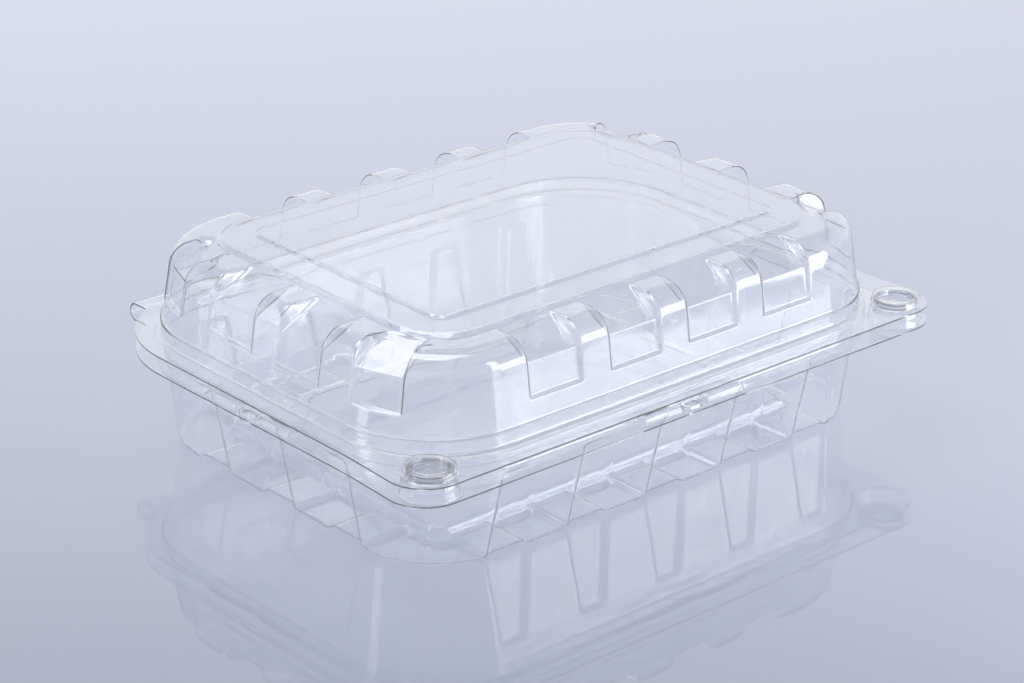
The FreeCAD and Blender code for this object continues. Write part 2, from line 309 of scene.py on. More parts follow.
class NodeTree:
    """A tree of nodes under construction, with short ways to add nodes and links."""

    def __init__(self, tree: bpy.types.NodeTree) -> None:
        """Starts from an empty tree.

        Args:
            tree: The tree to fill, whose nodes are cleared.
        """
        self.tree = tree
        self.sockets: dict[str, str] = {}
        tree.nodes.clear()

    def plug(self, value: object, socket: Socket) -> None:
        """Feeds a socket from another one, or sets it.

        Args:
            value: Socket or plain value.
            socket: What it goes to.
        """
        if isinstance(value, Socket):
            self.tree.links.new(value, socket)
        else:
            socket.default_value = value

    def node(self, kind: str, feeds: dict[str | int, object] | None = None,
             **values: object) -> Node:
        """Adds a node.

        Args:
            kind: Type of the node.
            feeds: Sockets or values for its inputs, by name or number.
            values: Its properties.

        Returns:
            The node.
        """
        made = self.tree.nodes.new(kind)
        for name, value in values.items():
            setattr(made, name, value)
        for name, value in (feeds or {}).items():
            self.plug(value, made.inputs[name])
        return made

    def math(self, operation: str, *values: object) -> Socket:
        """Number worked out from others.

        Args:
            operation: Name of the operation.
            values: Sockets or numbers.

        Returns:
            The result's socket.
        """
        return self.node("ShaderNodeMath", dict(enumerate(values)), operation=operation).outputs[0]

    def mix(self, share: object, first: object, second: object) -> Socket:
        """Colour between two others.

        Args:
            share: How much of the second one.
            first: Colour at 0.
            second: Colour at 1.

        Returns:
            The result's socket.
        """
        node = self.node("ShaderNodeMix", {0: share}, data_type="RGBA")
        for value, socket in zip((first, second), [found for found in node.inputs if found.type == "RGBA"]):
            self.plug(value, socket)
        return [found for found in node.outputs if found.type == "RGBA"][0]

    def size(self, name: str, kind: str = "Float", value: float | None = None, side: str = "INPUT") -> None:
        """Adds a named socket to the tree's own face.

        Args:
            name: Name of the socket.
            kind: Its type.
            value: What it is unless set.
            side: INPUT or OUTPUT.
        """
        item = self.tree.interface.new_socket(name, in_out=side, socket_type="NodeSocket" + kind)
        self.sockets[name] = item.identifier
        if value is not None:
            item.default_value = value


class PressTree(NodeTree):
    """Geometry nodes that press recesses into a skin: they move its points and soften the folds."""

    def __init__(self, name: str, sizes: dict[str, float]) -> None:
        """Starts a tree with a mesh going in and coming out, and named sizes.

        Args:
            name: Name of the tree.
            sizes: Name and value of each size.
        """
        super().__init__(bpy.data.node_groups.new(name, "GeometryNodeTree"))
        self.size("Geometry", "Geometry")
        self.size("Geometry", "Geometry", side="OUTPUT")
        self.sizes = sizes
        for size in sizes:
            self.size(size)
        self.size("Finish", "Material")
        self.entry = self.node("NodeGroupInput")
        self.position = self.node("GeometryNodeInputPosition").outputs[0]
        self.height = self.node("ShaderNodeSeparateXYZ", {0: self.position}).outputs[2]

    def given(self, *names: str) -> list[Socket]:
        """Sockets of the named inputs."""
        return [self.entry.outputs[name] for name in names]

    def arithmetic(self) -> list[partial]:
        """Functions for the sum, difference, product, ratio and larger one of two numbers."""
        return [partial(self.math, name) for name in ("ADD", "SUBTRACT", "MULTIPLY", "DIVIDE", "MAXIMUM")]

    def read(self, name: str, kind: str = "FLOAT") -> Socket:
        """Socket of a value kept on the points."""
        node = self.node("GeometryNodeInputNamedAttribute", {"Name": name}, data_type=kind)
        return node.outputs["Attribute"]

    def ease(self, value: object, start: object, end: object, low: float, high: float) -> Socket:
        """Smooth step from low to high as value goes from start to end.

        Args:
            value: What is looked at.
            start: Where the step starts.
            end: Where it ends.
            low: Result before the step.
            high: Result after it.

        Returns:
            The result's socket.
        """
        feeds = dict(enumerate((value, start, end, low, high)))
        return self.node("ShaderNodeMapRange", feeds, interpolation_type="SMOOTHSTEP").outputs[0]

    def offset(self, out: object, inward: object, lift: object) -> Socket:
        """Move of a point.

        Args:
            out: Which way its wall faces.
            inward: How far it goes against that.
            lift: How far it goes up.

        Returns:
            The move's socket.
        """
        back = self.node("ShaderNodeVectorMath", {0: out, "Scale": self.math("MULTIPLY", inward, -1.0)},
                         operation="SCALE").outputs[0]
        up = self.node("ShaderNodeCombineXYZ", {2: lift}).outputs[0]
        return self.node("ShaderNodeVectorMath", {0: back, 1: up}, operation="ADD").outputs[0]

    def finish(self, offset: Socket, band: Socket) -> None:
        """Moves the points, softens the folds and closes the tree.

        Args:
            offset: How far each point moves.
            band: Where the folds are softened, from 0 to 1.
        """
        mesh, finish = self.given("Geometry", "Finish")
        kept = self.node("GeometryNodeStoreNamedAttribute", {"Geometry": mesh, "Name": "band", "Value": band})
        moved = self.node("GeometryNodeSetPosition", {"Geometry": kept.outputs[0], "Offset": offset})
        blur = self.node("GeometryNodeBlurAttribute", {"Value": self.position, "Iterations": 1,
                                                       "Weight": self.read("band")}, data_type="FLOAT_VECTOR")
        soft = self.node("GeometryNodeSetPosition",
                         {"Geometry": moved.outputs[0], "Position": blur.outputs[0]})
        real = self.node("GeometryNodeRealizeInstances", {"Geometry": soft.outputs[0]})
        dressed = self.node("GeometryNodeSetMaterial", {"Geometry": real.outputs[0], "Material": finish})
        self.node("NodeGroupOutput", {0: dressed.outputs[0]})

    def apply(self, piece: Object, finish: Material) -> None:
        """Runs the tree on a piece and keeps the plain mesh.

        Args:
            piece: The skin to press.
            finish: Its material.
        """
        modifier = piece.modifiers.new("press", "NODES")
        modifier.node_group = self.tree
        for name, value in {**self.sizes, "Finish": finish}.items():
            modifier[self.sockets[name]] = value
        bpy.context.view_layer.update()
        graph = bpy.context.evaluated_depsgraph_get()
        pressed = bpy.data.meshes.new_from_object(piece.evaluated_get(graph))
        piece.modifiers.remove(modifier)
        piece.data = pressed


def lid_press_tree(sizes: dict[str, float]) -> PressTree:
    """Tree for the lid: a flat frame pressed into the wall, and a facet from it up to the flat top.

    Args:
        sizes: Name and value of each size, in the order that they are taken here.

    Returns:
        The tree, ready to apply.
    """
    tree = PressTree("press lid recesses", sizes)
    depth, bottom, top, foot, shoulder, lean, soft, ledge = tree.given(*sizes)
    plus, less, times, ratio, most = tree.arithmetic()
    z = tree.height
    across = tree.math("ABSOLUTE", tree.read("across"))
    half, run, proud = tree.read("half"), tree.read("run"), tree.read("proud")
    inside = tree.ease(across, less(half, soft), half, 1.0, 0.0)
    above = tree.ease(z, bottom, plus(bottom, ledge), 0.0, 1.0)
    # The frame leans as the wall does
    wall = times(less(foot, z), lean)
    press = times(most(less(proud, less(wall, depth)), 0.0), above)
    # The facet starts at the frame's top
    fold = less(times(less(foot, top), lean), depth)
    tall = less(shoulder, top)
    length = tree.math("SQRT", plus(times(tall, tall), times(run, run)))
    outward = times(less(less(proud, press), fold), tall)
    upward = times(less(z, top), run)
    over = most(ratio(plus(outward, upward), length), 0.0)
    back = plus(press, ratio(times(over, tall), length))
    down = ratio(times(over, run), length)
    lift = times(times(down, -1.0), inside)
    move = tree.offset(tree.read("out", "FLOAT_VECTOR"), times(back, inside), lift)
    near = tree.ease(across, half, plus(half, 1.5), 1.0, 0.0)
    tree.finish(move, times(near, above))
    return tree


def tray_press_tree(sizes: dict[str, float]) -> PressTree:
    """Tree for the tray: tapering flutes in the wall, each with a channel under the foot ring.

    Args:
        sizes: Name and value of each size, in the order that they are taken here.

    Returns:
        The tree, ready to apply.
    """
    tree = PressTree("press tray flutes", sizes)
    depth, width, slope, taper, top, rise, soft = tree.given(*sizes)
    plus, less, times, ratio, most = tree.arithmetic()
    z = tree.height
    across = tree.math("ABSOLUTE", tree.read("across"))
    up = tree.math("MINIMUM", most(ratio(z, top), 0.0), 1.0)
    half = less(times(width, 0.5), times(taper, up))
    edge = plus(half, slope)
    inside = tree.ease(across, half, edge, 1.0, 0.0)
    below = tree.ease(z, less(top, soft), top, 1.0, 0.0)
    cut = times(times(depth, inside), times(below, tree.read("share")))
    press = most(plus(tree.read("proud"), cut), 0.0)
    lift = most(less(times(rise, inside), z), 0.0)
    lift = times(lift, tree.math("GREATER_THAN", inside, 0.001))
    near = tree.ease(across, edge, plus(edge, 1.0), 1.0, 0.0)
    tree.finish(tree.offset(tree.read("out", "FLOAT_VECTOR"), press, lift),
                times(near, tree.ease(z, top, plus(top, 1.0), 1.0, 0.0)))
    return tree


# Flanges, buttons and pads


@dataclass(frozen=True)
class Flange:
    """Outline of both flanges, in millimetres: straight front, ears, and the hinge edge at the back."""

    half_length: float = 94.5
    half_width: float = 73.0
    ear_reach: float = 95.5
    ear_radius: float = 11.0
    ear_run: float = 18.0
    back_radius: float = 34.0
    bend_y: float = 70.3
    hinge_half: float = 78.0

    def outline(self) -> list[Pair]:
        """Points of the outline, counter-clockwise from the left end of the front.

        Returns:
            Rows of x, y, without the hinge edge's own points between its ends.
        """
        centre_x, centre_y = self.ear_reach - self.ear_radius, -self.half_width + self.ear_radius
        right = arc((centre_x, centre_y), self.ear_radius, -90.0, 0.0, 16)
        right += [(self.half_length, centre_y + self.ear_run)]
        back_x, back_y = self.half_length - self.back_radius, self.bend_y - self.back_radius
        turn = math.degrees(math.acos((self.hinge_half - back_x) / self.back_radius))
        right += arc((back_x, back_y), self.back_radius, 0.0, turn, 18)
        right += [(self.hinge_half, self.bend_y)]
        return right + [(-x, y) for x, y in reversed(right)]


def add_walls(mesh: BMesh, loops: list[list[Vector]]) -> tuple[list[BMVert], Edges]:
    """Adds loops of points, each joined to the next by faces.

    Args:
        mesh: The mesh to add to.
        loops: Loops of points, from the foot up.

    Returns:
        The points of the last loop, and the edges of the first.
    """
    rings = [[mesh.verts.new(point) for point in loop] for loop in loops]
    for low, high in zip(rings, rings[1:]):
        for index in range(len(low)):
            mesh.faces.new((low[index - 1], low[index], high[index], high[index - 1]))
    foot = rings[0]
    return rings[-1], [mesh.edges.get((foot[index - 1], foot[index])) for index in range(len(foot))]


@dataclass(frozen=True)
class SnapButton:
    """A round button or stud as a turned profile of radius and height, standing on a flange."""

    profile: tuple[Pair, ...]
    at: Pair = (85.0, -64.4)
    segments: int = 56

    def add(self, mesh: BMesh, side: int) -> Edges:
        """Adds the button to a mesh.

        Args:
            mesh: The mesh to add to.
            side: 1 for the right ear, -1 for the left.

        Returns:
            The edges of its foot on the flange.
        """
        x, y = side * self.at[0], self.at[1]
        turns = [2.0 * math.pi * index / self.segments for index in range(self.segments)]
        loops = [[Vector((x + radius * math.cos(turn), y + radius * math.sin(turn), height))
                  for turn in turns] for radius, height in self.profile]
        last, foot = add_walls(mesh, loops)
        top = mesh.verts.new((x, y, self.profile[-1][1]))
        for index in range(self.segments):
            mesh.faces.new((last[index - 1], last[index], top))
        return foot


@dataclass(frozen=True)
class RaisedPad:
    """A low pad raised in a flange, from its outline's corners and how they are rounded."""

    corners: tuple[Pair, ...]
    rounding: float
    rise: float
    slope: float

    def loop(self, inset: float, height: float) -> list[Vector]:
        """Rounded outline at a distance inside the corners.

        Args:
            inset: How far in from the foot's outline.
            height: Height of the loop.

        Returns:
            Points round the pad.
        """
        corners = [Vector(corner) for corner in self.corners]
        middle = sum(corners, Vector((0.0, 0.0))) / len(corners)
        points = []
        for before, here, after in zip(corners[-1:] + corners[:-1], corners, corners[1:] + corners[:1]):
            start = here + (before - here).normalized() * self.rounding
            end = here + (after - here).normalized() * self.rounding
            for share in (0.0, 0.25, 0.5, 0.75, 1.0):
                reach = start.lerp(here, share).lerp(here.lerp(end, share), share) - middle
                x, y = (part * (1.0 - inset / max(abs(part), inset + 1.0)) for part in reach)
                points.append(Vector((middle.x + x, middle.y + y, height)))
        return points

    def add(self, mesh: BMesh, place: Matrix, base: float) -> Edges:
        """Adds the pad to a mesh.

        Args:
            mesh: The mesh to add to.
            place: Where the pad goes, from the middle of the front.
            base: Height of the flange.

        Returns:
            The edges of its foot.
        """
        slope = self.slope
        levels = ((0.0, 0.0), (0.25, 0.08), (slope * 0.75, 0.75), (slope, 0.95), (slope + 0.35, 1.0))
        last, foot = add_walls(mesh, [[place @ point for point in self.loop(inset, base + self.rise * share)]
                                      for inset, share in levels])
        mesh.faces.new(last)
        return foot


# Finishes


class SheetMarks(NodeTree):
    """Shared marks of formed clear sheet: slow waviness, haze and light scuffs."""

    def __init__(self) -> None:
        """Builds the node group once."""
        super().__init__(bpy.data.node_groups.new("sheet marks", "ShaderNodeTree"))
        self.size("Position", "Vector")
        for name, value in (("Wave size", 60.0), ("Scuff size", 150.0), ("Haze", 0.05), ("Scuffs", 0.08)):
            self.size(name, value=value)
        for name, kind in (("Roughness", "Float"), ("Height", "Float"), ("Tint", "Color")):
            self.size(name, kind, side="OUTPUT")
        given = self.node("NodeGroupInput").outputs
        wave, scuff = [self.node("ShaderNodeTexNoise", {"Vector": given["Position"], "Scale": given[size],
                                                        "Detail": detail}).outputs["Fac"]
                       for size, detail in (("Wave size", 0.0), ("Scuff size", 1.0))]
        marks = self.node("ShaderNodeMapRange", {"Value": scuff, "From Min": 0.56, "From Max": 0.72})
        rough = self.math("MULTIPLY_ADD", marks.outputs[0], given["Scuffs"], given["Haze"])
        tint = self.mix(marks.outputs[0], (0.955, 0.965, 0.99, 1.0), (0.985, 0.99, 1.0, 1.0))
        self.node("NodeGroupOutput", {"Roughness": rough, "Height": wave, "Tint": tint})


def new_material(name: str) -> tuple[Material, NodeTree]:
    """Adds an empty material.

    Args:
        name: Name of the material.

    Returns:
        The material and its tree, ready to fill.
    """
    material = bpy.data.materials.new(name)
    material.use_nodes = True
    return material, NodeTree(material.node_tree)


@dataclass(frozen=True)
class ClearPlastic:
    """Crystal clear formed sheet with soft waviness and faint haze."""

    name: str
    haze: float = 0.03
    scuffs: float = 0.06
    wave: float = 60.0
    refraction: float = 1.52
    relief: float = 0.00009
    clearness: float = 0.965
    soft_light: float = 0.945

    def build(self, marks: SheetMarks) -> Material:
        """Builds the material.

        Args:
            marks: The shared group of sheet marks.

        Returns:
            The material.
        """
        material, tree = new_material(self.name)
        place = tree.node("ShaderNodeTexCoord").outputs["Object"]
        group = tree.node("ShaderNodeGroup", {"Position": place, "Haze": self.haze, "Scuffs": self.scuffs,
                                              "Wave size": self.wave}, node_tree=marks.tree)
        bump = tree.node("ShaderNodeBump", {"Strength": 1.0, "Distance": self.relief,
                                            "Height": group.outputs["Height"]})
        # Soft light passes almost unhindered, where bent light would leave a black shadow
        rays = tree.node("ShaderNodeLightPath").outputs
        soft_rays = tree.math("MAXIMUM", rays["Is Shadow Ray"], rays["Is Diffuse Ray"])
        shader = tree.node("ShaderNodeBsdfPrincipled", {
            "IOR": self.refraction, "Transmission Weight": self.clearness,
            "Base Color": group.outputs["Tint"], "Roughness": group.outputs["Roughness"],
            "Normal": bump.outputs[0],
            "Alpha": tree.math("MULTIPLY_ADD", soft_rays, -self.soft_light, 1.0)})
        tree.node("ShaderNodeOutputMaterial", {"Surface": shader.outputs[0]})
        return material


# The two halves


@dataclass
class Half:
    """What both halves share: sheet thickness, flange and how a finished skin becomes a sheet."""

    flange: Flange = Flange()
    flange_height: float = 33.3
    bend_height: float = 30.6
    bend_radius: float = 2.7
    bend_steps: int = 10
    bend_gap: float = 0.03
    facing: Facing = Facing.UP
    name: str = "half"

    def assemble(self, skin: Object, button: SnapButton, pads: list[tuple[Matrix, RaisedPad]],
                 material: Material) -> Object:
        """Makes the finished half from its pressed skin.

        Args:
            skin: The skin, which is used up.
            button: What stands on each ear.
            pads: Raised pads of the flange and their places.
            material: The finish.

        Returns:
            The finished piece.
        """
        mesh = bmesh.new()
        mesh.from_mesh(skin.data)
        bpy.data.objects.remove(skin)
        holes = [edge for edge in mesh.edges if len(edge.link_faces) == 1
                 and all(abs(point.co.z - self.flange_height) < TOUCH for point in edge.verts)]
        for side in (-1, 1):
            holes += button.add(mesh, side)
        for place, pad in pads:
            holes += pad.add(mesh, place, self.flange_height)
        self.add_flange(mesh, holes)
        return self.finish(mesh, material)

    def add_flange(self, mesh: BMesh, holes: Edges) -> None:
        """Fills the flat flange round everything that stands on it, and bends its hinge edge.

        Args:
            mesh: The mesh, with the skin and what stands on the flange.
            holes: Edges of every foot on the flange.
        """
        points = [mesh.verts.new((x, y, self.flange_height)) for x, y in self.flange.outline()]
        rim = [mesh.edges.new((point, after)) for point, after in zip(points, points[1:] + points[:1])]
        bmesh.ops.triangle_fill(mesh, use_beauty=True, use_dissolve=False, edges=rim + holes,
                                normal=(0.0, 0.0, 1.0))
        ends = [point for point in points if abs(point.co.y - self.flange.bend_y) < TOUCH]
        row = sorted(ends, key=lambda point: point.co.x)
        for step in range(1, self.bend_steps + 1):
            turn = math.pi / 2.0 * (1.0 - step / self.bend_steps)
            y = self.flange.bend_y + self.bend_radius * math.cos(turn)
            over = self.bend_radius * math.sin(turn) if step < self.bend_steps else self.bend_gap
            z = self.bend_height + self.facing.value * over
            after = [mesh.verts.new((point.co.x, y, z)) for point in row]
            mesh.faces.new((row[0], row[1], after[1], after[0]))
            row = after

    def thicken(self, mesh: BMesh) -> None:
        """Gives the skin its thickness behind the outer face, and closes its rim.

        Args:
            mesh: The skin, its faces looking outward.
        """
        mesh.normal_update()
        skin = list(mesh.verts)
        faces = list(mesh.faces)
        rim = [edge for edge in mesh.edges if len(edge.link_faces) == 1]
        behind = {}
        for point in skin:
            depth = SHEET * min(point.calc_shell_factor(), DEEPEST)
            behind[point] = mesh.verts.new(point.co - point.normal * depth)
        for face in faces:
            mesh.faces.new([behind[point] for point in reversed(face.verts)])
        for edge in rim:
            loop = edge.link_loops[0]
            start, end = loop.vert, loop.link_loop_next.vert
            mesh.faces.new((end, start, behind[start], behind[end]))

    def finish(self, mesh: BMesh, material: Material) -> Object:
        """Turns the skin into a sheet with its thickness, in metres.

        Args:
            mesh: The whole skin, in millimetres.
            material: Its finish.

        Returns:
            The finished piece.
        """
        bmesh.ops.remove_doubles(mesh, verts=mesh.verts, dist=JOIN)
        bmesh.ops.recalc_face_normals(mesh, faces=mesh.faces)
        level = [face for face in mesh.faces
                 if all(abs(point.co.z - self.flange_height) < TOUCH for point in face.verts)]
        if level and sum(face.normal.z * face.calc_area() for face in level) * self.facing.value < 0.0:
            bmesh.ops.reverse_faces(mesh, faces=mesh.faces)
        self.thicken(mesh)
        bmesh.ops.scale(mesh, vec=(MM, MM, MM), verts=mesh.verts)
        data = bpy.data.meshes.new(self.name)
        mesh.to_mesh(data)
        mesh.free()
        for key in ("out", "across", "proud", "half", "run", "share", "band"):
            if key in data.attributes:
                data.attributes.remove(data.attributes[key])
        data.materials.clear()
        data.materials.append(material)
        data.shade_smooth()
        data.set_sharp_from_angle(angle=math.radians(SHARP))
        return add_object(self.name, data)


@dataclass
class Lid(Half):
    """Domed lid: skirt, recessed wall, rounded shoulder, two low steps on top, flange and snap buttons."""

    name: str = "lid_sheet"
    dome: Triple = (88.4, 64.4, 31.5)
    foot_top: float = 37.3
    shoulder_top: float = 58.1
    shoulder_radius: float = 6.5
    draft: float = 9.0
    step: Triple = (70.8, 48.8, 14.5)
    panel: Triple = (60.6, 39.3, 3.8)
    step_top: float = 59.2
    panel_top: float = 60.0
    recess_depth: float = 1.0
    recess_bottom: float = 42.7
    frame_top: float = 51.9
    half_recess: float = 9.2
    corner_half: float = 7.5
    corner_facing: float = 70.0
    front_run: float = 11.0
    side_run: float = 12.5
    soft: float = 0.9
    ledge: float = 0.5
    pitch: float = 28.0
    corner_radius: float = 30.0
    front_end: float = 56.5
    side_end: float = 32.5
    close: float = 0.85
    apart: float = 2.4

    def columns(self) -> Columns:
        """Gathers columns at the upright edges of the recesses.

        Returns:
            The columns.
        """
        reach = self.half_recess - self.soft / 2.0
        rows = (self.pitch / 2.0, self.pitch * 1.5)
        front = edge_columns(tuple(row + sign * reach for row in rows for sign in (-1, 1)), self.front_end,
                             self.close, self.apart)
        side = edge_columns((rows[0] - reach, rows[0] + reach), self.side_end, self.close, self.apart)
        turn = math.degrees(math.asin(self.corner_half / self.corner_radius))
        scale = math.degrees(1.0 / self.corner_radius)
        edges = tuple(self.corner_facing + sign * (turn - scale * self.soft / 2.0) for sign in (-1, 1))
        corner = [angle for angle in edge_columns(edges, 88.5, self.close * scale, 4.0) if angle > 0.5]
        return Columns(front=front, side=side, corner=tuple(corner), corner_facing=self.corner_facing,
                       corner_half=self.corner_half)

    def rings(self) -> tuple[list[Ring], int]:
        """Rings from the middle of the top out to the flange.

        Returns:
            The rings, and how many of them belong to the steps on top.
        """
        top = middle_rings(self.panel, self.panel_top)
        top += profile(self.panel, [(out, self.panel_top - drop) for out, drop in (
            (-0.5, 0.0), (-0.1, 0.03), (0.12, 0.12), (0.55, 0.66), (0.8, 0.78), (1.2, 0.8))])
        top += profile(self.step, [(out, self.step_top - drop) for out, drop in (
            (-2.5, 0.0), (-0.6, 0.0), (-0.15, 0.03), (0.1, 0.12), (0.8, 0.95), (1.05, 1.08), (1.3, 1.1))])
        draft, radius = math.radians(self.draft), self.shoulder_radius
        lean = math.tan(draft)
        centre_z = self.shoulder_top - radius
        wall = -lean * (centre_z + radius * math.sin(draft) - self.foot_top)
        centre = wall - radius * math.cos(draft)
        start = [size + 1.9 for size in self.step]
        end = [size + centre - 0.4 for size in self.dome]
        rings = [blend(start, end, index / 7.0, self.shoulder_top) for index in range(7)]
        rings += profile(self.dome, arc((centre, centre_z), radius, 90.0, self.draft, 14))
        rings += profile(self.dome, [(-lean * (height - self.foot_top), height) for height in (
            52.3, 52.1, 51.9, 51.7, 51.4, 50.6, 49.2, 47.4, 45.6, 44.6, 44.1, 43.8, 43.55, 43.3, 43.05, 42.8,
            42.55, 42.2, 41.4, 40.2, 39.0, 38.3)])
        rings += profile(self.dome, [
            (-0.1, 37.75), (0.0, 37.5), (0.12, 37.34), (0.3, 37.3), (0.42, 37.24), (0.5, 37.05), (0.5, 36.4),
            (0.5, 35.2), (0.5, 34.3), (0.56, 33.85), (0.75, 33.5), (1.05, 33.34), (1.4, 33.3), (1.8, 33.3)])
        return top + rings, len(top)

    def cells(self, columns: Columns, rings: list[Ring], flat: int) -> list[dict[str, np.ndarray]]:
        """What each column of each ring knows about its recess.

        Args:
            columns: The columns.
            rings: The rings.
            flat: How many rings take no recess.

        Returns:
            For each ring, values by attribute name.
        """
        front, corner = columns.split()
        bend = slice(front, front + corner)
        turn = math.radians(self.corner_facing)
        facing = np.array([math.sin(turn), -math.cos(turn)])
        beside = np.array([math.cos(turn), math.sin(turn)])
        middle = np.array([self.dome[0] - self.dome[2], -(self.dome[1] - self.dome[2])])
        sag = self.dome[2] - math.sqrt(self.dome[2] ** 2 - self.corner_half ** 2)
        found = []
        for index, ring in enumerate(rings):
            points = columns.quarter(ring)
            count = len(points)
            out = np.tile(np.array([1.0, 0.0]), (count, 1))
            out[:front] = (0.0, -1.0)
            out[bend] = facing
            across = -points[:, 1] - self.pitch / 2.0
            across[:front] = np.abs(points[:front, 0] - self.pitch) - self.pitch / 2.0
            spot = points[bend] - middle
            across[bend] = spot @ beside
            proud = points[:, 0] - self.dome[0]
            proud[:front] = -points[:front, 1] - self.dome[1]
            proud[bend] = spot @ facing - (self.dome[2] - sag)
            half = np.full(count, self.half_recess)
            half[bend] = self.corner_half
            run = np.full(count, self.side_run)
            run[:front] = self.front_run
            if index < flat:
                half[:] = -9.0
            found.append({"out": out, "across": across, "proud": proud, "half": half, "run": run})
        return found

    def build(self, material: Material) -> Object:
        """Makes the lid.

        Args:
            material: Its finish.

        Returns:
            The finished piece, riding on the lid.
        """
        columns = self.columns()
        rings, flat = self.rings()
        skin = Skin(columns, rings).mesh("lid_skin", self.cells(columns, rings, flat))
        tree = lid_press_tree({
            "Depth": self.recess_depth, "Recess bottom": self.recess_bottom, "Frame top": self.frame_top,
            "Dome foot": self.foot_top, "Shoulder top": self.shoulder_top,
            "Wall lean": math.tan(math.radians(self.draft)), "Soft edge": self.soft,
            "Ledge slope": self.ledge})
        tree.apply(skin, material)
        button = SnapButton((
            (8.3, 33.3), (7.8, 33.3), (7.4, 33.36), (7.1, 33.55), (6.95, 33.9), (6.85, 34.5), (6.75, 35.05),
            (6.6, 35.36), (6.35, 35.5), (5.7, 35.5), (5.0, 35.5), (4.75, 35.38), (4.6, 35.1), (4.48, 34.3),
            (4.4, 33.95), (4.2, 33.76), (3.9, 33.7), (2.0, 33.7)))
        piece = self.assemble(skin, button, [], material)
        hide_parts("lid")
        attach(piece, "lid")
        return piece


